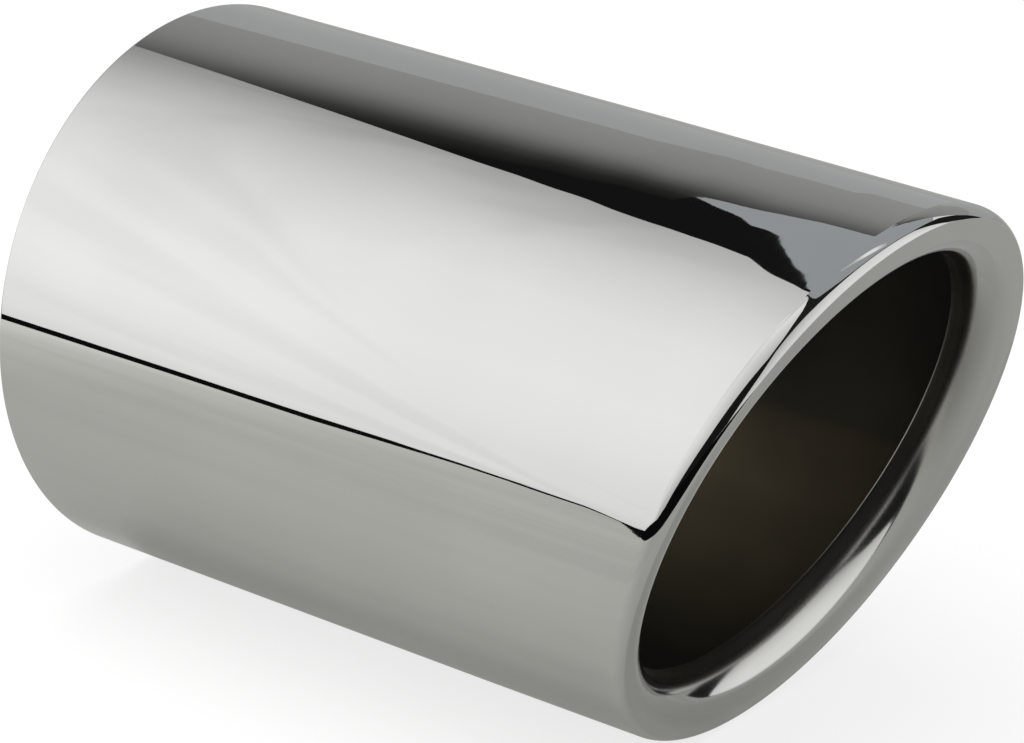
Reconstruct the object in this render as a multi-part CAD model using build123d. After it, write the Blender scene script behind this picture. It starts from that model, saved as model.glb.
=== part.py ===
from build123d import *
import math
import os

# Exhaust tip: one length of thin stainless tube, cut on a slant at the outlet,
# where the wall is turned in over a rolled lip and back down into the mouth.
# Frame: origin at the centre of the inlet, +X along the tube to the outlet,
# +Z up, with the longest side of the slanted outlet at the top. Millimetres.

# Driving dimensions of the tube
outer_diameter = 76.0
wall_thickness = 1.2
axis_length = 107.0  # inlet to the slanted plane, along the tube's axis
slant_angle = 20.0  # degrees the outlet leans back from square
draw_length = 23.0  # the last stretch before the short side, where the tube draws in
draw_angle = 0.25  # degrees the wall leans in over that stretch and on to the lip

# Driving dimensions of the rolled lip
outer_bend_inside_radius = 0.3  # the tight bend from the tube to the lip's face
lip_flat = 1.0  # the face between the two bends, at the sides of the tube
lip_wider_at_top = 1.85  # how much more face the long side of the slant has
lip_wider_at_bottom = -0.25  # the same at the short side
inner_bend_inside_radius = 3.15  # the wide bend from the face into the mouth
return_length = 2.4  # the straight wall inside the mouth, past the wide bend

# Rounding of the sheet's cut edges, at the inlet and inside the mouth
cut_edge_radius = 0.3
largest_share_of_wall = 0.4  # an edge's rounding stays under this share of the wall

# Sizes that follow from those
outer_radius = outer_diameter / 2
bore_radius = outer_radius - wall_thickness
outer_bend_radius = outer_bend_inside_radius + wall_thickness
inner_bend_radius = inner_bend_inside_radius + wall_thickness
lip_depth = inner_bend_radius + return_length
slant = math.radians(slant_angle)
mouth_radius = outer_radius - outer_bend_radius - lip_flat - inner_bend_radius
mouth_long_radius = mouth_radius / math.cos(slant) - (lip_wider_at_top + lip_wider_at_bottom) / 2
mouth_drop = (lip_wider_at_top - lip_wider_at_bottom) / 2  # down the slant from the axis
short_side = axis_length - outer_radius * math.tan(slant)
long_side = axis_length + outer_radius * math.tan(slant)
straight_length = short_side - draw_length
edge_radius = min(cut_edge_radius, largest_share_of_wall * wall_thickness)
outward = Vector(math.cos(slant), 0, -math.sin(slant))  # square to the slanted plane


def slant_plane(depth):
    """The slanted plane, moved a depth down into the tube."""
    origin = Vector(axis_length, 0, 0) - outward * depth
    return Plane(origin=origin, x_dir=(0, 1, 0), z_dir=outward)


def farthest_face(solid, direction):
    """The solid's flat face that lies farthest along a direction."""
    flat_faces = solid.faces().filter_by(GeomType.PLANE)
    return flat_faces.sort_by(Axis((0, 0, 0), direction))[-1]


def slanted_bar(radius, depth, bend_radius):
    """A round bar that draws in to the outlet, cut on the slant and rounded there."""
    far_end = long_side + outer_radius
    draw = (far_end - straight_length) * math.tan(math.radians(draw_angle))
    profile = Polyline(
        (0, 0),
        (0, radius),
        (straight_length, radius),
        (far_end, radius - draw),
        (far_end, 0),
        close=True,
    )
    bar = revolve(Plane.XZ * make_face(profile), Axis.X)
    bar = split(bar, bisect_by=slant_plane(depth), keep=Keep.BOTTOM).solid()
    return bar.fillet(bend_radius, farthest_face(bar, outward).edges())


def pocketed(bar, growth, start, depth, bend_radius):
    """The bar with an oval pocket sunk in its slanted end, rounded at the rim."""
    oval = Pos(0, -mouth_drop) * Ellipse(mouth_radius + growth, mouth_long_radius + growth)
    plug = extrude(slant_plane(start) * oval, amount=start - depth)
    bar = (bar - plug).solid()
    rim = farthest_face(bar, outward).inner_wires()[0]
    return bar.fillet(bend_radius, rim.edges())


def exhaust_tip():
    """The outside form less the space inside it, with its cut edges eased."""
    outside = slanted_bar(outer_radius, 0, outer_bend_radius)
    outside = pocketed(outside, 0, 0, lip_depth + wall_thickness, inner_bend_radius)
    inside = slanted_bar(bore_radius, wall_thickness, outer_bend_inside_radius)
    inside = pocketed(
        inside, wall_thickness, wall_thickness, lip_depth, inner_bend_inside_radius
    )
    tip = (outside - inside).solid()
    flat_faces = tip.faces().filter_by(GeomType.PLANE)
    inlet_face, cut_face = flat_faces.sort_by(Axis((0, 0, 0), outward))[:2]
    return tip.fillet(edge_radius, inlet_face.edges() + cut_face.edges())


os.makedirs("parts", exist_ok=True)
tip = exhaust_tip()
tip.label = "exhaust_tip"
export_step(tip, "parts/exhaust_tip.step")
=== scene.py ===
import math

import bpy
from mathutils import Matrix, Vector


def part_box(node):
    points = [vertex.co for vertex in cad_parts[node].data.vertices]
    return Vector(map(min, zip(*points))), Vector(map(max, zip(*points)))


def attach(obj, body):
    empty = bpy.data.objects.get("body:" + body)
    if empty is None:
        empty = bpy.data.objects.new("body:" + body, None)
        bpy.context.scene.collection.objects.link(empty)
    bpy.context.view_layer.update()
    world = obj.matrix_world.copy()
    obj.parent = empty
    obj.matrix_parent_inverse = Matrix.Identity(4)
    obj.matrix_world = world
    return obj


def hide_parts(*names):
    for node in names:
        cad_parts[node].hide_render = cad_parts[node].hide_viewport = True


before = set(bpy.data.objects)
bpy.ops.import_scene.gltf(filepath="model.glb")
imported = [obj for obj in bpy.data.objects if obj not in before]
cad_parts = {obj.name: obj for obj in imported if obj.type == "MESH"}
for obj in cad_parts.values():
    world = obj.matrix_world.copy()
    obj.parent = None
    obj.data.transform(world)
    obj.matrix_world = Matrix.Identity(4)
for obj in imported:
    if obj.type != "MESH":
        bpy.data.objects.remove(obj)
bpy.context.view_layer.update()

tipLow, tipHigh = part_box("exhaust_tip")


# Sums of node sockets, so that a rule in nodes reads like a rule
def feed(tree, socket, value):
    if isinstance(value, (Number, Arrow)):
        tree.links.new(value.socket, socket)
    else:
        socket.default_value = value


class Number:
    def __init__(self, tree, socket):
        self.tree = tree
        self.socket = socket

    def calc(self, operation, *others):  # one Math node
        node = self.tree.nodes.new("ShaderNodeMath")
        node.operation = operation
        for socket, value in zip(node.inputs, (self, *others)):
            feed(self.tree, socket, value)
        return Number(self.tree, node.outputs[0])

    def __add__(self, other):
        return self.calc("ADD", other)

    def __sub__(self, other):
        return self.calc("SUBTRACT", other)

    def __mul__(self, other):
        return self.calc("MULTIPLY", other)

    def __truediv__(self, other):
        return self.calc("DIVIDE", other)

    def sine(self):
        return self.calc("SINE")

    def cosine(self):
        return self.calc("COSINE")

    def restOfOne(self):
        return self * -1.0 + 1.0

    def eased(self):  # 0 to 1, flat at both ends
        held = self.calc("MAXIMUM", 0.0).calc("MINIMUM", 1.0)
        return held * held * (held * -2.0 + 3.0)


class Arrow:
    def __init__(self, tree, socket):
        self.tree = tree
        self.socket = socket

    def calc(self, operation, *others):
        node = self.tree.nodes.new("ShaderNodeVectorMath")
        node.operation = operation
        sockets = [node.inputs[0], node.inputs["Scale" if operation == "SCALE" else 1]]
        for socket, value in zip(sockets, (self, *others)):
            feed(self.tree, socket, value)
        return Arrow(self.tree, node.outputs["Vector"])

    def __add__(self, other):
        return self.calc("ADD", other)

    def __sub__(self, other):
        return self.calc("SUBTRACT", other)

    def __mul__(self, number):
        return self.calc("SCALE", number)

    def unit(self):
        return self.calc("NORMALIZE")


def arrow(tree, x, y, z):
    node = tree.nodes.new("ShaderNodeCombineXYZ")
    for socket, value in zip(node.inputs, (x, y, z)):
        feed(tree, socket, value)
    return Arrow(tree, node.outputs[0])


def addNode(tree, kind, settings=None, values=None):
    node = tree.nodes.new(kind)
    for name, value in (settings or {}).items():
        setattr(node, name, value)
    for name, value in (values or {}).items():
        node.inputs[name].default_value = value
    return node


# The tip: one turned-in sheet, drawn as strips that run round the tube
tipSizes = {
    "Outer Radius": 0.038,
    "Wall": 0.0012,
    "Axis Length": 0.107,  # inlet to the slanted plane, on the axis
    "Slant": math.radians(20.0),
    "Draw Length": 0.023,  # the last stretch before the short side, drawn in
    "Draw Slope": math.tan(math.radians(0.25)),
    "Draw Ease": 0.004,
    "Outer Bend": 0.0003,  # inside radius of the tight bend
    "Outer Bend Stretch": 1.45,  # the bend is this much longer along the tube than inwards
    "Outer Bend Crease": 0.22,  # share of its turn left to the crisp edge beside the flat
    "Lip Flat": 0.0004,
    "Lip Wider Top": 0.00185,
    "Lip Wider Bottom": -0.00025,
    "Inner Bend": 0.00375,  # inside radius of the wide bend
    "Inner Bend Stretch": 0.95,  # the same, into the mouth
    "Lip Depth": 0.00675,  # crown to the cut edge
    "Edge Round": 0.0003,
}
tipMesh = {
    "pointsAround": 481,
    "rowsWall": 84,
    "rowsOuterBend": 20,
    "rowsFlat": 6,
    "rowsInnerBend": 24,
    "rowsReturn": 4,
    "rowsEdge": 5,
    "rowsRim": 3,
    "rowsInside": 12,
    "weldDistance": 3e-6,
}


def buildTipTree(steel, bore):
    tree = bpy.data.node_groups.new("turnedInTip", "GeometryNodeTree")
    tree.interface.new_socket("Geometry", in_out="OUTPUT", socket_type="NodeSocketGeometry")
    for name, value in tipSizes.items():
        socket = tree.interface.new_socket(name, in_out="INPUT", socket_type="NodeSocketFloat")
        socket.default_value = value
    nodes, links = tree.nodes, tree.links
    groupIn = nodes.new("NodeGroupInput")
    size = {name: Number(tree, groupIn.outputs[name]) for name in tipSizes}

    # where a grid point is: its turn round the tube, and its share across the strip
    place = nodes.new("GeometryNodeInputPosition")
    split = nodes.new("ShaderNodeSeparateXYZ")
    links.new(place.outputs[0], split.inputs[0])
    turnShare = Number(tree, split.outputs[0]) + 0.5
    across = Number(tree, split.outputs[1]) + 0.5
    back = across.restOfOne()
    whole = across * 0.0 + 1.0  # one everywhere
    turn = turnShare * (2 * math.pi)
    cosTurn, sinTurn = turn.cosine(), turn.sine()
    cosSlant, sinSlant = size["Slant"].cosine(), size["Slant"].sine()
    tanSlant = sinSlant / cosSlant
    radial = arrow(tree, 0.0, cosTurn, sinTurn)
    alongTube = arrow(tree, 1.0, 0.0, 0.0)
    outward = arrow(tree, cosSlant, 0.0, sinSlant * -1.0)  # square to the slanted plane
    sideways = arrow(tree, 0.0, 1.0, 0.0)
    upSlant = arrow(tree, sinSlant, 0.0, cosSlant)

    wall, edge = size["Wall"], size["Edge Round"]
    outerBend = size["Outer Bend"] + wall
    innerBend = size["Inner Bend"] + wall
    bendMore = size["Outer Bend Stretch"] - 1.0
    straight = size["Axis Length"] - tanSlant * size["Outer Radius"] - size["Draw Length"]

    def planeX(reach):  # x of the slanted plane over a ring of that reach
        return size["Axis Length"] + tanSlant * reach * sinTurn

    def drawn(x):  # how far the wall has drawn in at x
        return (x - straight).calc("SMOOTH_MAX", 0.0, size["Draw Ease"]) * size["Draw Slope"]

    # centre of the outer bend, which the two sides of the sheet share, and where the wall stops
    def bendStart(reach):
        return planeX(reach) - outerBend / cosSlant

    def wallEndAt(reach, inset):
        start = bendStart(reach)
        return start - (planeX(reach + outerBend - inset) - start) * bendMore

    plainReach = size["Outer Radius"] - outerBend
    reach = plainReach - drawn(wallEndAt(plainReach, 0.0))
    outerCentre = alongTube * bendStart(reach) + radial * reach
    bendAngle = (sinSlant * sinTurn * -1.0).calc("ARCCOSINE")
    creaseLift = (size["Outer Bend Crease"] * bendAngle).cosine().restOfOne()

    def stretched(point):  # draws the bend out along the tube, from the slanted plane down
        parts = nodes.new("ShaderNodeSeparateXYZ")
        feed(tree, parts.inputs[0], point)
        plane = size["Axis Length"] + tanSlant * Number(tree, parts.outputs[2])
        return point - alongTube * ((plane - Number(tree, parts.outputs[0])) * bendMore)

    # the mouth's oval, and the spine of the inner bend round it
    mouthWide = size["Outer Radius"] - outerBend - size["Lip Flat"] - innerBend
    mouthTall = mouthWide / cosSlant - (size["Lip Wider Top"] + size["Lip Wider Bottom"]) * 0.5
    mouthDrop = (size["Lip Wider Top"] - size["Lip Wider Bottom"]) * 0.5
    mouthMiddle = alongTube * size["Axis Length"] - upSlant * mouthDrop
    mouthEdge = mouthMiddle + sideways * (mouthWide * cosTurn) + upSlant * (mouthTall * sinTurn)
    mouthSide = (sideways * (cosTurn * mouthTall) + upSlant * (sinTurn * mouthWide)).unit()
    innerDepth = innerBend * size["Inner Bend Stretch"]
    innerCentre = mouthEdge + mouthSide * innerBend - outward * innerDepth
    toEdge = size["Lip Depth"] - innerDepth - edge

    def mix(start, end, share):
        return start + (end - start) * share

    def quarter(first, second, share):  # a quarter turn from one arrow to another
        angle = share * (math.pi / 2)
        return first * angle.cosine() + second * angle.sine()

    def wallStrip(inset, share):
        wallEnd = wallEndAt(reach, inset)
        x = edge + (wallEnd - edge) * share.eased()  # rows crowd towards both ends
        return alongTube * x + radial * (size["Outer Radius"] - inset - drawn(x))

    def outerBendStrip(inset, share):
        part = size["Outer Bend Crease"].restOfOne() * share
        sweep = radial * (part.restOfOne() * bendAngle).sine() + outward * (part * bendAngle).sine()
        lift = outward * (creaseLift * share * share)  # brings the bend's end up to the flat
        return stretched(outerCentre + (sweep.unit() + lift) * (outerBend - inset))

    def flatStrip(inset, share):
        start = outerBendStrip(inset, whole)
        end = innerCentre + outward * (innerDepth - inset)
        return mix(start, end, share * share)  # rows crowd towards the crease

    def innerBendStrip(inset, share):
        toMouth = mouthSide * ((innerBend - inset) * -1.0)
        return innerCentre + quarter(outward * (innerDepth - inset), toMouth, share)

    def cutCentre(inset):
        return innerCentre - mouthSide * (innerBend - inset) - outward * toEdge

    def returnStrip(inset, share):
        return innerCentre - mouthSide * (innerBend - inset) - outward * (toEdge * share)

    def inletCentre(inset):
        return alongTube * edge + radial * (size["Outer Radius"] - inset)

    outside = 0.0
    cutOut, cutIn = cutCentre(edge), cutCentre(wall - edge)
    inletOut, inletIn = inletCentre(edge), inletCentre(wall - edge)
    upstream, backward = alongTube * -1.0, outward * -1.0
    rows = tipMesh
    strips = [
        (rows["rowsEdge"], inletOut + quarter(upstream, radial, across) * edge, False),
        (rows["rowsWall"], wallStrip(outside, across), False),
        (rows["rowsOuterBend"], outerBendStrip(outside, across), False),
        (rows["rowsFlat"], flatStrip(outside, across), False),
        (rows["rowsInnerBend"], innerBendStrip(outside, across), False),
        (rows["rowsReturn"], returnStrip(outside, across), False),
        (rows["rowsEdge"], cutOut + quarter(mouthSide * -1.0, backward, across) * edge, False),
        (rows["rowsRim"], mix(cutOut, cutIn, across) + backward * edge, False),
        (rows["rowsEdge"], cutIn + quarter(backward, mouthSide, across) * edge, False),
        (rows["rowsReturn"], returnStrip(wall, back), True),
        (rows["rowsInside"], innerBendStrip(wall, back), True),
        (rows["rowsFlat"], flatStrip(wall, back), True),
        (rows["rowsEdge"], outerBendStrip(wall, back), True),
        (rows["rowsInside"], wallStrip(wall, back), True),
        (rows["rowsEdge"], inletIn + quarter(radial * -1.0, upstream, across) * edge, False),
        (rows["rowsRim"], mix(inletIn, inletOut, across) + upstream * edge, False),
    ]

    join = nodes.new("GeometryNodeJoinGeometry")
    storeNode = "GeometryNodeStoreNamedAttribute"
    for number, (rowCount, position, isInside) in enumerate(strips):
        grid = addNode(tree, "GeometryNodeMeshGrid", None, {"Size X": 1.0, "Size Y": 1.0})
        grid.inputs["Vertices X"].default_value = tipMesh["pointsAround"]
        grid.inputs["Vertices Y"].default_value = rowCount
        sheetMap = addNode(tree, storeNode, {"data_type": "FLOAT2", "domain": "CORNER"}, {"Name": "UVMap"})
        feed(tree, sheetMap.inputs["Value"], arrow(tree, turnShare, (across + number) / len(strips), 0.0))
        side = addNode(tree, storeNode, {"data_type": "BOOLEAN", "domain": "FACE"}, {"Name": "inside"})
        side.inputs["Value"].default_value = isInside
        move = nodes.new("GeometryNodeSetPosition")
        links.new(grid.outputs["Mesh"], sheetMap.inputs["Geometry"])
        links.new(sheetMap.outputs["Geometry"], side.inputs["Geometry"])
        links.new(side.outputs["Geometry"], move.inputs["Geometry"])
        feed(tree, move.inputs["Position"], position)
        links.new(move.outputs["Geometry"], join.inputs[0])

    weld = addNode(tree, "GeometryNodeMergeByDistance", None, {"Distance": tipMesh["weldDistance"]})
    smooth = nodes.new("GeometryNodeSetShadeSmooth")
    realize = nodes.new("GeometryNodeRealizeInstances")
    setSteel = addNode(tree, "GeometryNodeSetMaterial", None, {"Material": steel})
    setBore = addNode(tree, "GeometryNodeSetMaterial", None, {"Material": bore})
    isBore = addNode(tree, "GeometryNodeInputNamedAttribute", {"data_type": "BOOLEAN"}, {"Name": "inside"})
    links.new(isBore.outputs["Attribute"], setBore.inputs["Selection"])
    groupOut = nodes.new("NodeGroupOutput")
    last = join
    for step in (weld, smooth, realize, setSteel, setBore, groupOut):
        links.new(last.outputs[0], step.inputs[0])
        last = step
    return tree


def makeTip(steel, bore):
    tree = buildTipTree(steel, bore)
    holder = bpy.data.objects.new("tipRule", bpy.data.meshes.new("tipRule"))
    bpy.context.collection.objects.link(holder)
    modifier = holder.modifiers.new("turnedInTip", "NODES")
    modifier.node_group = tree
    for item in tree.interface.items_tree:
        if item.in_out == "INPUT":
            modifier[item.identifier] = tipSizes[item.name]
    bpy.context.view_layer.update()
    depsgraph = bpy.context.evaluated_depsgraph_get()
    mesh = bpy.data.meshes.new_from_object(holder.evaluated_get(depsgraph))
    bpy.data.objects.remove(holder)
    mesh.name = "exhaustTip"
    tip = bpy.data.objects.new("exhaustTip", mesh)
    bpy.context.collection.objects.link(tip)
    print("tip:", len(mesh.vertices), "points,", len(mesh.polygons), "faces")
    return tip


# Small helpers for material trees
def newMaterial(name):
    material = bpy.data.materials.new(name)
    material.use_nodes = True
    material.node_tree.nodes.clear()
    return material, material.node_tree


def colourRamp(tree, place, stops):  # colours read at a place
    node = addNode(tree, "ShaderNodeValToRGB")
    ramp = node.color_ramp
    while len(ramp.elements) < len(stops):
        ramp.elements.new(0.5)
    for element, (position, colour) in zip(ramp.elements, stops):
        element.position = position
        element.color = (*colour, 1.0)
    tree.links.new(place, node.inputs["Fac"])
    return node.outputs["Color"]


def greyRamp(tree, place, stops):
    return colourRamp(tree, place, [(at, (value, value, value)) for at, value in stops])


def placedTone(tree, place, stops, tint):  # brightness by place along one axis, and the ramp's top
    first, last = stops[0][0], stops[-1][0]
    top = max(tone for at, tone in stops)
    share = addNode(tree, "ShaderNodeMapRange", None, {"From Min": first, "From Max": last})
    tree.links.new(place, share.inputs["Value"])
    colours = []
    for at, tone in stops:
        colours.append(((at - first) / (last - first), [tone / top * part for part in tint]))
    return colourRamp(tree, share.outputs["Result"], colours), top


def timesColour(tree, first, second):  # two colours multiplied
    node = addNode(tree, "ShaderNodeMix", {"data_type": "RGBA", "blend_type": "MULTIPLY"}, {"Factor": 1.0})
    tree.links.new(first, node.inputs["A"])
    tree.links.new(second, node.inputs["B"])
    return node.outputs["Result"]


def carried(tree, value, reads, gives):  # a value carried from one range to another
    node = addNode(tree, "ShaderNodeMapRange")
    for name, limit in zip(("From Min", "From Max", "To Min", "To Max"), (*reads, *gives)):
        node.inputs[name].default_value = limit
    feed(tree, node.inputs["Value"], value)
    return Number(tree, node.outputs["Result"])


def objectPlace(tree):  # the point itself, and its x, y and z
    place = addNode(tree, "ShaderNodeTexCoord")
    split = addNode(tree, "ShaderNodeSeparateXYZ")
    tree.links.new(place.outputs["Object"], split.inputs[0])
    return place.outputs["Object"], split.outputs


# Polishing marks, shared by the bright outside, the dull bore and the floor's faint streaks
def buildPolishMarks():
    group = bpy.data.node_groups.new("polishMarks", "ShaderNodeTree")
    for name in ("Marks Along", "Marks Around", "Cloud Scale"):
        group.interface.new_socket(name, in_out="INPUT", socket_type="NodeSocketFloat")
    for name in ("Marks", "Clouds"):
        group.interface.new_socket(name, in_out="OUTPUT", socket_type="NodeSocketFloat")
    links = group.links
    groupIn = addNode(group, "NodeGroupInput")
    groupOut = addNode(group, "NodeGroupOutput")
    place = addNode(group, "ShaderNodeTexCoord")
    stretch = addNode(group, "ShaderNodeCombineXYZ")
    scaled = addNode(group, "ShaderNodeVectorMath", {"operation": "MULTIPLY"})
    marks = addNode(group, "ShaderNodeTexNoise", None, {"Scale": 1.0, "Detail": 3.0, "Roughness": 0.6})
    clouds = addNode(group, "ShaderNodeTexNoise", None, {"Detail": 2.0, "Roughness": 0.5})
    links.new(groupIn.outputs["Marks Along"], stretch.inputs[0])
    links.new(groupIn.outputs["Marks Around"], stretch.inputs[1])
    links.new(groupIn.outputs["Marks Around"], stretch.inputs[2])
    links.new(place.outputs["Object"], scaled.inputs[0])
    links.new(stretch.outputs[0], scaled.inputs[1])
    links.new(scaled.outputs[0], marks.inputs["Vector"])
    links.new(place.outputs["Object"], clouds.inputs["Vector"])
    links.new(groupIn.outputs["Cloud Scale"], clouds.inputs["Scale"])
    links.new(marks.outputs["Fac"], groupOut.inputs["Marks"])
    links.new(clouds.outputs["Fac"], groupOut.inputs["Clouds"])
    return group


def placeMarks(tree, sizes):
    return addNode(tree, "ShaderNodeGroup", {"node_tree": polishMarks}, sizes).outputs


steelLook = {
    "marks": {"Marks Along": 900.0, "Marks Around": 60.0, "Cloud Scale": 30.0},
    "metallic": 1.0,
    "tones": [(0.35, (0.585, 0.587, 0.578)), (0.65, (0.613, 0.615, 0.606))],  # by the clouds
    "satin": (0.38, 0.37, 0.345),  # inside the lip, where the wheel reaches less
    "satinRough": 0.3,
    # by the sheet's map, from the wide bend into the mouth
    "satinShare": [(0.268, 0.0), (0.29, 0.3), (0.305, 0.75), (0.32, 1.0), (0.5, 1.0), (0.6, 0.5),
                   (0.9, 0.5)],
    "marksRead": (0.3, 0.7),
    "rough": (0.012, 0.022),
    "markDepth": 0.01,  # a mark's depth beside the sheet's slow waves
    "waveDepth": 0.00003,
    "rippleScale": 105.0,  # short waves in the wall, close to the lip
    "rippleDepth": (0.0, 3.2),  # beside the slow waves
    "rippleShare": [(0.094, 0.0), (0.106, 1.0), (0.1245, 1.0), (0.13, 0.2), (0.14, 0.0)],
    "rippleHeights": (0.006, 0.024),  # they fade out below
}


def makePolishedSteel():
    material, tree = newMaterial("polishedSteel")
    look = steelLook
    links = tree.links
    place, axes = objectPlace(tree)
    marks = placeMarks(tree, look["marks"])

    # the sheet's own map tells how far a point is turned into the mouth
    sheetMap = addNode(tree, "ShaderNodeUVMap", {"uv_map": "UVMap"})
    sheetSplit = addNode(tree, "ShaderNodeSeparateXYZ")
    links.new(sheetMap.outputs["UV"], sheetSplit.inputs[0])
    turnedIn = greyRamp(tree, sheetSplit.outputs[1], look["satinShare"])
    tone = addNode(tree, "ShaderNodeMix", {"data_type": "RGBA"})
    tone.inputs["B"].default_value = (*look["satin"], 1.0)
    links.new(turnedIn, tone.inputs["Factor"])
    links.new(colourRamp(tree, marks["Clouds"], look["tones"]), tone.inputs["A"])
    polish = carried(tree, Number(tree, marks["Marks"]), look["marksRead"], look["rough"])
    rough = Number(tree, turnedIn) * look["satinRough"] + polish

    # fine marks on the sheet's slow waves, and short waves near the lip, in the upper half
    ripple = addNode(tree, "ShaderNodeTexNoise", None, {"Scale": look["rippleScale"], "Detail": 0.0})
    links.new(place, ripple.inputs["Vector"])
    nearLip = Number(tree, greyRamp(tree, sheetSplit.outputs[1], look["rippleShare"]))
    upperHalf = carried(tree, Number(tree, axes["Z"]), look["rippleHeights"], look["rippleDepth"])
    relief = Number(tree, marks["Marks"]) * look["markDepth"] + Number(tree, marks["Clouds"])
    waves = Number(tree, ripple.outputs["Fac"]) * (nearLip * upperHalf) + relief
    bump = addNode(tree, "ShaderNodeBump", None, {"Strength": 1.0, "Distance": look["waveDepth"]})
    shader = addNode(tree, "ShaderNodeBsdfPrincipled", None, {"Metallic": look["metallic"]})
    out = addNode(tree, "ShaderNodeOutputMaterial")
    feed(tree, bump.inputs["Height"], waves)
    feed(tree, shader.inputs["Roughness"], rough)
    links.new(tone.outputs["Result"], shader.inputs["Base Color"])
    links.new(bump.outputs["Normal"], shader.inputs["Normal"])
    links.new(shader.outputs[0], out.inputs["Surface"])
    return material


boreLook = {
    # long soft streaks, which make the edges of the painted reflection bands wander
    "marks": {"Marks Along": 14.0, "Marks Around": 70.0, "Cloud Scale": 40.0},
    "metallic": 0.6,
    "bandWander": 0.004,
    # painted reflection and shade: tone by height in the bore, lowest to highest
    "paintedReflectionBands": [(0.0, (0.032, 0.03, 0.024)), (0.06, (0.036, 0.032, 0.024)), (0.14, (0.105, 0.085, 0.052)),
              (0.25, (0.145, 0.117, 0.07)), (0.37, (0.105, 0.084, 0.052)), (0.395, (0.068, 0.059, 0.043)),
              (0.5, (0.062, 0.057, 0.045)), (0.75, (0.058, 0.058, 0.048))],
    "stains": [(0.36, (0.76, 0.76, 0.78)), (0.64, (1.16, 1.16, 1.1))],  # soft patches, darker and paler
    "rough": (0.35, 0.55),
}
wholeRange = (0.0, 1.0)


def makeBoreSteel():
    material, tree = newMaterial("boreSteel")
    look = boreLook
    links = tree.links
    place, axes = objectPlace(tree)
    marks = placeMarks(tree, look["marks"])
    # painted reflection and shade: the bore's tone follows height, in bands with wandering edges
    wander = Number(tree, marks["Marks"]) * look["bandWander"] + Number(tree, axes["Z"])
    height = carried(tree, wander, (tipLow[2], tipHigh[2]), wholeRange)
    tone = colourRamp(tree, height.socket, look["paintedReflectionBands"])
    stains = colourRamp(tree, marks["Clouds"], look["stains"])
    rough = carried(tree, Number(tree, marks["Clouds"]), wholeRange, look["rough"])
    shader = addNode(tree, "ShaderNodeBsdfPrincipled", None, {"Metallic": look["metallic"]})
    out = addNode(tree, "ShaderNodeOutputMaterial")
    feed(tree, shader.inputs["Roughness"], rough)
    links.new(timesColour(tree, tone, stains), shader.inputs["Base Color"])
    links.new(shader.outputs[0], out.inputs["Surface"])
    return material


polishMarks = buildPolishMarks()
polishedSteel = makePolishedSteel()
boreSteel = makeBoreSteel()
tip = makeTip(polishedSteel, boreSteel)
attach(tip, "root")
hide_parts("exhaust_tip")


# Floor: white to the camera, a pale grey in the steel with painted light along x, with a soft shadow in both
floorLook = {
    "halfWidth": 6.0,
    "drop": 0.0002,
    "seen": (0.93, 0.93, 0.93),
    "grey": (0.53, 0.53, 0.505),
    "glowSeen": (1.0, 1.0, 1.0),
    "glowTint": (1.0, 1.0, 0.945),
    # painted light and shade in the steel: the floor's glow by x, bright to the left, dimmer near the tip
    "paintedLightAlong": [(-0.4, 1.0), (-0.15, 1.0), (-0.115, 0.68), (-0.05, 0.44), (0.05, 0.52), (0.09, 0.52),
                  (0.12, 0.33), (0.2, 0.4), (0.5, 0.48)],
    "marks": {"Marks Along": 4.0, "Marks Around": 30.0},
    "streaks": [(0.38, 0.84), (0.56, 1.0)],  # faint and long, in the steel only
    "shareSeen": 0.76,  # how much of its tone takes no shading, to the camera
    "shareMirrored": 0.5,  # and in the steel
}


def makeFloor():
    half, z = floorLook["halfWidth"], tipLow[2] - floorLook["drop"]
    corners = [(-half, -half, z), (half, -half, z), (half, half, z), (-half, half, z)]
    mesh = bpy.data.meshes.new("floor")
    mesh.from_pydata(corners, [], [(0, 1, 2, 3)])
    floor = bpy.data.objects.new("floor", mesh)
    bpy.context.collection.objects.link(floor)
    material, tree = newMaterial("paleFloor")
    links = tree.links
    path = addNode(tree, "ShaderNodeLightPath").outputs
    place, axes = objectPlace(tree)
    tone = addNode(tree, "ShaderNodeMix", {"data_type": "RGBA"})
    tone.inputs["A"].default_value = (*floorLook["grey"], 1.0)
    tone.inputs["B"].default_value = (*floorLook["seen"], 1.0)
    # painted light: the floor's glow in the steel is graded along x
    paintedLightGrey, glowTop = placedTone(tree, axes["X"], floorLook["paintedLightAlong"], floorLook["glowTint"])
    streaks = greyRamp(tree, placeMarks(tree, floorLook["marks"])["Marks"], floorLook["streaks"])
    glowTone = addNode(tree, "ShaderNodeMix", {"data_type": "RGBA"})
    glowTone.inputs["B"].default_value = (*floorLook["glowSeen"], 1.0)
    mirrored = addNode(tree, "ShaderNodeMath", {"operation": "ADD", "use_clamp": True})
    share = (Number(tree, path["Is Camera Ray"]) * floorLook["shareSeen"]
             + Number(tree, mirrored.outputs[0]) * floorLook["shareMirrored"])
    shaded = addNode(tree, "ShaderNodeBsdfDiffuse")
    glow = addNode(tree, "ShaderNodeEmission", None, {"Strength": glowTop})
    surface = addNode(tree, "ShaderNodeMixShader")
    out = addNode(tree, "ShaderNodeOutputMaterial")
    links.new(path["Is Camera Ray"], tone.inputs["Factor"])
    links.new(path["Is Camera Ray"], glowTone.inputs["Factor"])
    links.new(path["Is Glossy Ray"], mirrored.inputs[0])
    links.new(path["Is Transmission Ray"], mirrored.inputs[1])
    links.new(timesColour(tree, paintedLightGrey, streaks), glowTone.inputs["A"])
    links.new(tone.outputs["Result"], shaded.inputs["Color"])
    links.new(glowTone.outputs["Result"], glow.inputs["Color"])
    feed(tree, surface.inputs["Fac"], share)
    links.new(shaded.outputs[0], surface.inputs[1])
    links.new(glow.outputs[0], surface.inputs[2])
    links.new(surface.outputs[0], out.inputs["Surface"])
    mesh.materials.append(material)


makeFloor()


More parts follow.
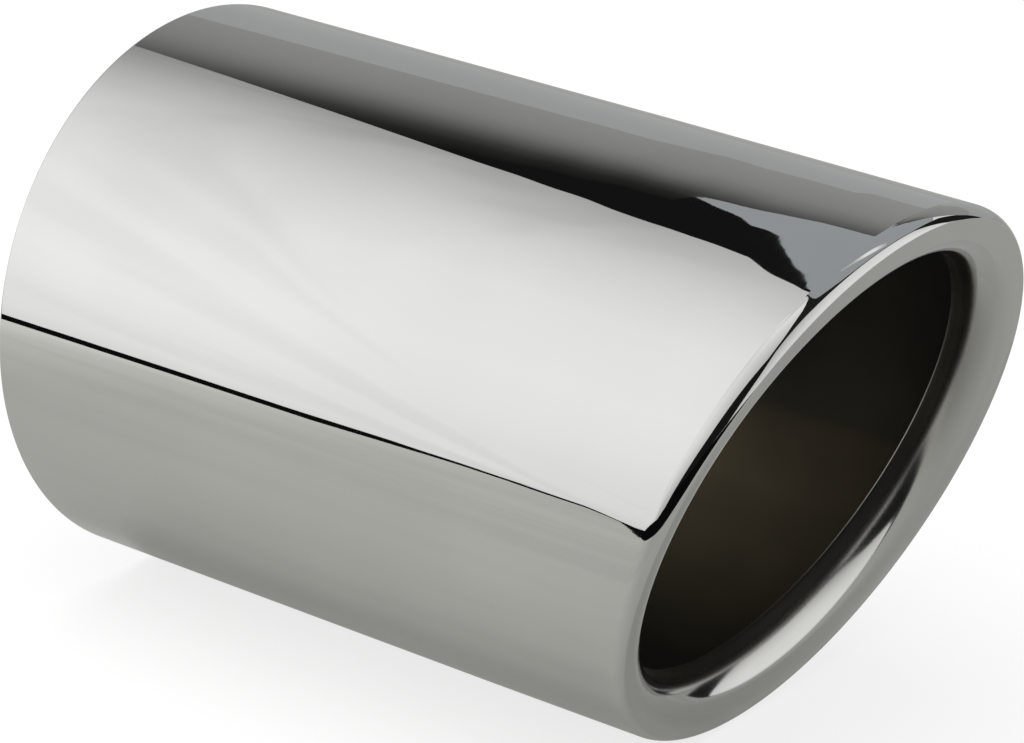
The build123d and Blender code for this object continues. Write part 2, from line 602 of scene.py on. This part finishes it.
# Studio cards that the steel mirrors: each is a sheet between a low and a high line of points
# tones are brightness at places along one axis and up another, in metres; a plain card has one tone
def arcLine(radius, turns, height):  # points round the tip's outlet, by compass turn from +X
    middle = (0.1, 0.0)
    line = []
    for turn in turns:
        angle = math.radians(turn)
        line.append((middle[0] + radius * math.cos(angle), middle[1] + radius * math.sin(angle), height))
    return line


def raised(line, heights):  # the same points at other heights
    return [(x, y, height) for (x, y, z), height in zip(line, heights)]


def across(line, y):  # the same points, carried over to one y
    return [(point[0], y, point[2]) for point in line]


def onLevel(height, places):  # flat points at one height
    return [(x, y, height) for x, y in places]


cardFoot = -0.0375  # the lowest cards stand and lie just over the floor
gapFoot = -0.0376
matFoot = -0.0377
plainTint = (1.0, 1.0, 1.0)
evenTone = ("X", [(-2.0, 1.0), (2.0, 1.0)])
backLine = arcLine(0.8, [182, 172, 162, 152, 144, 138, 133, 126, 116, 106, 97, 90, 84, 79], cardFoot)
backTops = [0.85, 0.85, 0.85, 0.85, 0.84, 0.73, 0.68, 0.68, 0.72, 0.72, 0.66, 0.57, 0.44, 0.24]
paleLine = arcLine(0.79, [182, 140, 128.5, 127, 126, 124, 123, 122, 118, 100, 79], cardFoot)
paleTops = [0.3, 0.3, 0.292, 0.285, 0.267, 0.257, 0.26, 0.22, 0.21, 0.2, 0.15]
gapLine = arcLine(0.85, [80, 62], cardFoot)
clothEdge = onLevel(cardFoot, [
    (-0.6, -0.2), (-0.2, -0.2), (-0.149, -0.232), (-0.115, -0.252), (-0.12, -0.285), (-0.105, -0.306),
    (-0.08, -0.298), (-0.055, -0.273), (-0.012, -0.213), (0.1, -0.16), (0.15, -0.125), (0.2, -0.108),
    (0.26, -0.112), (0.4, -0.115), (0.9, -0.15)])
cornerEdge = onLevel(1.0, [
    (-0.4, 0.0), (-0.495, 0.11), (-0.51, 0.2), (-0.53, 0.28), (-0.56, 0.38), (-0.6, 0.51), (-0.615, 0.54),
    (-0.615, 0.51), (-0.66, 0.61), (-0.71, 0.7), (-0.86, 1.1)])
ceilingEdge = onLevel(1.05, [
    (-1.6, 0.05), (-0.45, 0.05), (-0.2, -0.06), (0.0, -0.12), (0.2, -0.15), (0.3, -0.13), (0.42, -0.05),
    (0.53, 0.05), (0.6, 0.2), (0.62, 0.3)])

cards = {
    "leftSoftbox": {
        "low": [(-0.6, -0.24, -0.037), (-0.2, -0.26, -0.037), (-0.152, -0.293, -0.037),
                (-0.145, -0.318, -0.037), (-0.115, -0.328, -0.037), (-0.09, -0.313, -0.037),
                (-0.045, -0.263, -0.037), (-0.02, -0.255, -0.032), (0.0, -0.25, -0.028),
                (0.06, -0.23, -0.024)],
        "high": [(-0.6, 0.338, 0.607), (-0.22, 0.123, 0.383), (-0.165, 0.096, 0.354), (-0.115, 0.071, 0.328),
                 (-0.095, 0.06, 0.317), (-0.076, 0.049, 0.306), (-0.048, 0.023, 0.279),
                 (-0.031, 0.009, 0.264), (0.03, -0.02, 0.237), (0.07, -0.035, 0.225)],
        "tint": (1.0, 1.0, 0.99),
        "along": ("X", [(-0.6, 1.03), (-0.15, 1.02), (-0.05, 0.97), (0.02, 0.96), (0.045, 0.91),
                        (0.07, 0.83)]),
        "up": ("Z", [(-0.037, 1.07), (-0.015, 1.17), (0.02, 1.21), (0.055, 1.29), (0.09, 1.34),
                     (0.125, 1.31), (0.15, 1.28), (0.175, 1.19), (0.205, 1.08), (0.235, 0.95), (0.265, 0.82),
                     (0.31, 0.7), (0.36, 0.6), (0.42, 0.52), (0.6, 0.4)]),
        "folds": 0.94,
    },
    "softboxWing": {  # the softbox's end, turned towards the camera
        "low": [(-0.02, -0.26, -0.026), (-0.02, -0.25, 0.0), (-0.02, -0.25, 0.03), (-0.015, -0.23, 0.1),
                (-0.01, -0.2, 0.15), (-0.01, -0.18, 0.18), (-0.005, -0.14, 0.21), (-0.005, -0.12, 0.22),
                (-0.01, -0.09, 0.235), (0.0, -0.02, 0.25)],
        "high": [(0.08, -0.236, -0.0275), (0.106, -0.25, -0.018), (0.116, -0.285, -0.001),
                 (0.18, -0.264, 0.085), (0.195, -0.238, 0.133), (0.207, -0.2, 0.163), (0.232, -0.17, 0.193),
                 (0.207, -0.139, 0.231), (0.123, -0.078, 0.275), (0.058, -0.04, 0.275)],
        "tint": (1.0, 1.0, 0.99),
        "along": ("X", [(-0.02, 1.2), (0.05, 1.1), (0.1, 0.97), (0.16, 0.85), (0.23, 0.75)]),
        "up": ("Z", [(-0.04, 0.65), (0.0, 0.75), (0.05, 0.92), (0.1, 1.03), (0.2, 1.0), (0.275, 1.15)]),
    },
    "rightSoftbox": {
        "low": [(0.5, -0.365, 0.45), (0.5, -0.3, 0.2), (0.5, -0.287, 0.0), (0.5, -0.1, 0.0), (0.5, 0.4, 0.0),
                (0.5, 0.74, 0.0)],
        "high": [(0.5, -0.35, 0.57), (0.5, -0.3, 0.67), (0.5, -0.236, 0.72), (0.5, -0.1, 0.72),
                 (0.5, 0.4, 0.72), (0.5, 1.3, 0.72)],
        "tint": (1.0, 1.0, 0.99),
        "along": ("Y", [(-0.36, 0.7), (-0.25, 0.78), (-0.12, 0.95), (0.0, 1.08), (0.4, 1.12), (0.7, 0.95),
                        (1.0, 0.75), (1.3, 0.6)]),
        "up": ("Z", [(0.0, 1.05), (0.2, 1.05), (0.45, 0.98), (0.72, 0.92)]),
    },
    "frontCloth": {  # black over the floor in front
        "low": across(clothEdge, -1.2),
        "high": clothEdge,
        "tone": 0.005,
    },
    "cameraFlag": {
        "low": [(-0.9, -1.1, -0.038), (1.3, -0.8, -0.038)],
        "high": [(-0.9, -1.1, 1.6), (1.3, -0.8, 1.6)],
        "tone": 0.012,
    },
    "backPale": {  # a pale sheet in an arc behind the tip
        "low": paleLine,
        "high": raised(paleLine, paleTops),
        "tint": (0.98, 1.0, 1.01),
        "along": evenTone,
        "up": ("Z", [(-0.038, 0.455), (0.2, 0.46), (0.3, 0.465)]),
    },
    "backCard": {  # and a higher one that darkens upwards
        "low": backLine,
        "high": raised(backLine, backTops),
        "tint": (1.0, 1.0, 0.97),
        "along": evenTone,
        "up": ("Z", [(-0.038, 0.375), (0.25, 0.375), (0.356, 0.36), (0.452, 0.34), (0.508, 0.315),
                     (0.556, 0.275), (0.596, 0.235), (0.636, 0.18), (0.676, 0.125), (0.724, 0.065),
                     (0.78, 0.028), (0.85, 0.012)]),
    },
    "backGap": {  # a dark gap beside it
        "low": gapLine,
        "high": raised(gapLine, [0.5, 0.8]),
        "tone": 0.015,
    },
    # painted shade: a black sheet on the floor before the gap, seen only in the steel
    "paintedGapShade": {  # and the floor before the gap
        "low": onLevel(gapFoot, [(0.21, 0.2), (0.3, 0.36), (0.5, 0.74)]),
        "high": onLevel(gapFoot, [(0.2, 0.26), (0.25, 0.48), (0.28, 0.9)]),
        "tone": 0.015,
    },
    "backFloor": {  # a grey mat on the floor behind
        "low": onLevel(matFoot, [(-0.9, 0.045), (0.12, 0.045)]),
        "high": onLevel(matFoot, [(-0.9, 0.79), (0.12, 0.79)]),
        "tint": (1.0, 1.0, 0.965),
        "tone": 0.41,
    },
    "darkCorner": {  # a dark corner of the room, with an uneven edge
        "low": [(-1.6, y, z) for x, y, z in cornerEdge],
        "high": cornerEdge,
        "tone": 0.01,
    },
    "ceilingLamp": {
        "low": onLevel(0.98, [(-0.05, 0.16), (0.06, 0.29), (0.09, 0.36), (0.15, 0.44), (0.3, 0.55)]),
        "high": onLevel(0.98, [(0.02, 0.14), (0.22, 0.26), (0.3, 0.34), (0.36, 0.42), (0.45, 0.54)]),
        "tint": plainTint,
        "along": ("Y", [(0.14, 0.55), (0.24, 0.7), (0.32, 1.15), (0.42, 1.15), (0.5, 0.75), (0.55, 0.55)]),
        "up": evenTone,
    },
    "ceiling": {
        "low": ceilingEdge,
        "high": across(ceilingEdge, 1.6),
        "tint": (0.95, 1.0, 1.04),
        "along": ("X", [(-1.6, 0.46), (0.63, 0.46)]),
        "up": evenTone,
    },
    "darkTop": {
        "low": [(-1.6, -1.2, 1.15), (1.6, -1.2, 1.15)],
        "high": [(-1.6, 1.6, 1.15), (1.6, 1.6, 1.15)],
        "tone": 0.02,
    },
}
cardRows = 4
cardFolds = {
    "lean": math.radians(31.0),
    "stretch": (22.0, 4.0, 4.0),
    "noise": {"Scale": 1.0, "Detail": 2.0, "Roughness": 0.45, "Distortion": 0.4},
    "reads": (0.36, 0.47),  # from a fold's middle out to plain cloth
}


def foldShade(tree, place, dimmest):  # long soft folds, that dim the cloth a little where they lie
    links = tree.links
    lean = addNode(tree, "ShaderNodeVectorRotate", {"rotation_type": "Y_AXIS"}, {"Angle": cardFolds["lean"]})
    stretch = addNode(tree, "ShaderNodeVectorMath", {"operation": "MULTIPLY"}, {1: cardFolds["stretch"]})
    fold = addNode(tree, "ShaderNodeTexNoise", None, cardFolds["noise"])
    links.new(place, lean.inputs["Vector"])
    links.new(lean.outputs[0], stretch.inputs[0])
    links.new(stretch.outputs[0], fold.inputs["Vector"])
    return greyRamp(tree, fold.outputs["Fac"], zip(cardFolds["reads"], (dimmest, 1.0)))


def makeCardLook(name, card):
    material, tree = newMaterial(name)
    glow = addNode(tree, "ShaderNodeEmission")
    out = addNode(tree, "ShaderNodeOutputMaterial")
    tree.links.new(glow.outputs[0], out.inputs["Surface"])
    if "tone" in card:
        glow.inputs["Color"].default_value = (*card.get("tint", plainTint), 1.0)
        glow.inputs["Strength"].default_value = card["tone"]
        return material
    place, axes = objectPlace(tree)
    alongAxis, alongStops = card["along"]
    upAxis, upStops = card["up"]
    alongTone, alongTop = placedTone(tree, axes[alongAxis], alongStops, plainTint)
    upTone, upTop = placedTone(tree, axes[upAxis], upStops, card["tint"])
    tone = timesColour(tree, alongTone, upTone)
    if "folds" in card:
        tone = timesColour(tree, tone, foldShade(tree, place, card["folds"]))
    glow.inputs["Strength"].default_value = alongTop * upTop
    tree.links.new(tone, glow.inputs["Color"])
    return material


def makeCard(name, card):
    low = [Vector(point) for point in card["low"]]
    high = [Vector(point) for point in card["high"]]
    points, faces = [], []
    for row in range(cardRows + 1):
        points += [start.lerp(end, row / cardRows) for start, end in zip(low, high)]
    width = len(low)
    for row in range(cardRows):
        for column in range(width - 1):
            start = row * width + column
            faces.append((start, start + 1, start + width + 1, start + width))
    mesh = bpy.data.meshes.new(name)
    mesh.from_pydata(points, [], faces)
    mesh.materials.append(makeCardLook(name, card))
    sheet = bpy.data.objects.new(name, mesh)
    bpy.context.collection.objects.link(sheet)
    sheet.visible_camera = False  # a card never hides the object in another view
    sheet.visible_shadow = False
    sheet.visible_diffuse = "tone" not in card  # a plain card takes no light from the floor


for cardName, card in cards.items():
    makeCard(cardName, card)
print("studio:", len(cards), "cards")

# A broad overhead lamp lifts the floor without showing in the steel
lampLook = {"size": 2.4, "height": 2.2, "energy": 44.0}
lamp = bpy.data.lights.new("overheadLamp", "AREA")
lamp.shape = "SQUARE"
lamp.size = lampLook["size"]
lamp.energy = lampLook["energy"]
overhead = bpy.data.objects.new("overheadLamp", lamp)
overhead.location = (0.0, 0.0, lampLook["height"])
overhead.visible_glossy = False
overhead.visible_camera = False
bpy.context.collection.objects.link(overhead)

# Room: white where the camera or the steel looks past the cards, softer as light
roomLook = {"white": 1.0, "fill": 0.35}


def makeRoom():
    world = bpy.data.worlds.new("room")
    world.use_nodes = True
    tree = world.node_tree
    tree.nodes.clear()
    links = tree.links
    path = addNode(tree, "ShaderNodeLightPath").outputs
    clear = addNode(tree, "ShaderNodeMath", {"operation": "ADD", "use_clamp": True})
    seen = addNode(tree, "ShaderNodeMath", {"operation": "ADD", "use_clamp": True})
    glow = addNode(tree, "ShaderNodeBackground", None, {"Color": (*plainTint, 1.0)})
    out = addNode(tree, "ShaderNodeOutputWorld")
    links.new(path["Is Glossy Ray"], clear.inputs[0])
    links.new(path["Is Transmission Ray"], clear.inputs[1])
    links.new(path["Is Camera Ray"], seen.inputs[0])
    links.new(clear.outputs[0], seen.inputs[1])
    level = carried(tree, Number(tree, seen.outputs[0]), wholeRange, (roomLook["fill"], roomLook["white"]))
    feed(tree, glow.inputs["Strength"], level)
    links.new(glow.outputs[0], out.inputs["Surface"])
    bpy.context.scene.world = world


makeRoom()

# Camera, at the photograph's angle and framing
cameraView = {
    "place": (0.41782, -0.44071, 0.24413),
    "forward": (-0.583603, 0.710957, -0.392361),
    "lens": 167.45,
    "sensorWidth": 36.0,
    "nearClip": 0.01,
}
shot = bpy.data.cameras.new("camera")
shot.sensor_fit = "HORIZONTAL"
shot.sensor_width = cameraView["sensorWidth"]
shot.lens = cameraView["lens"]
shot.clip_start = cameraView["nearClip"]
camera = bpy.data.objects.new("camera", shot)
camera.location = cameraView["place"]
camera.rotation_euler = Vector(cameraView["forward"]).to_track_quat("-Z", "Y").to_euler()
bpy.context.collection.objects.link(camera)
bpy.context.scene.camera = camera
bpy.context.scene.view_settings.view_transform = "Standard"
print("camera and room ready")
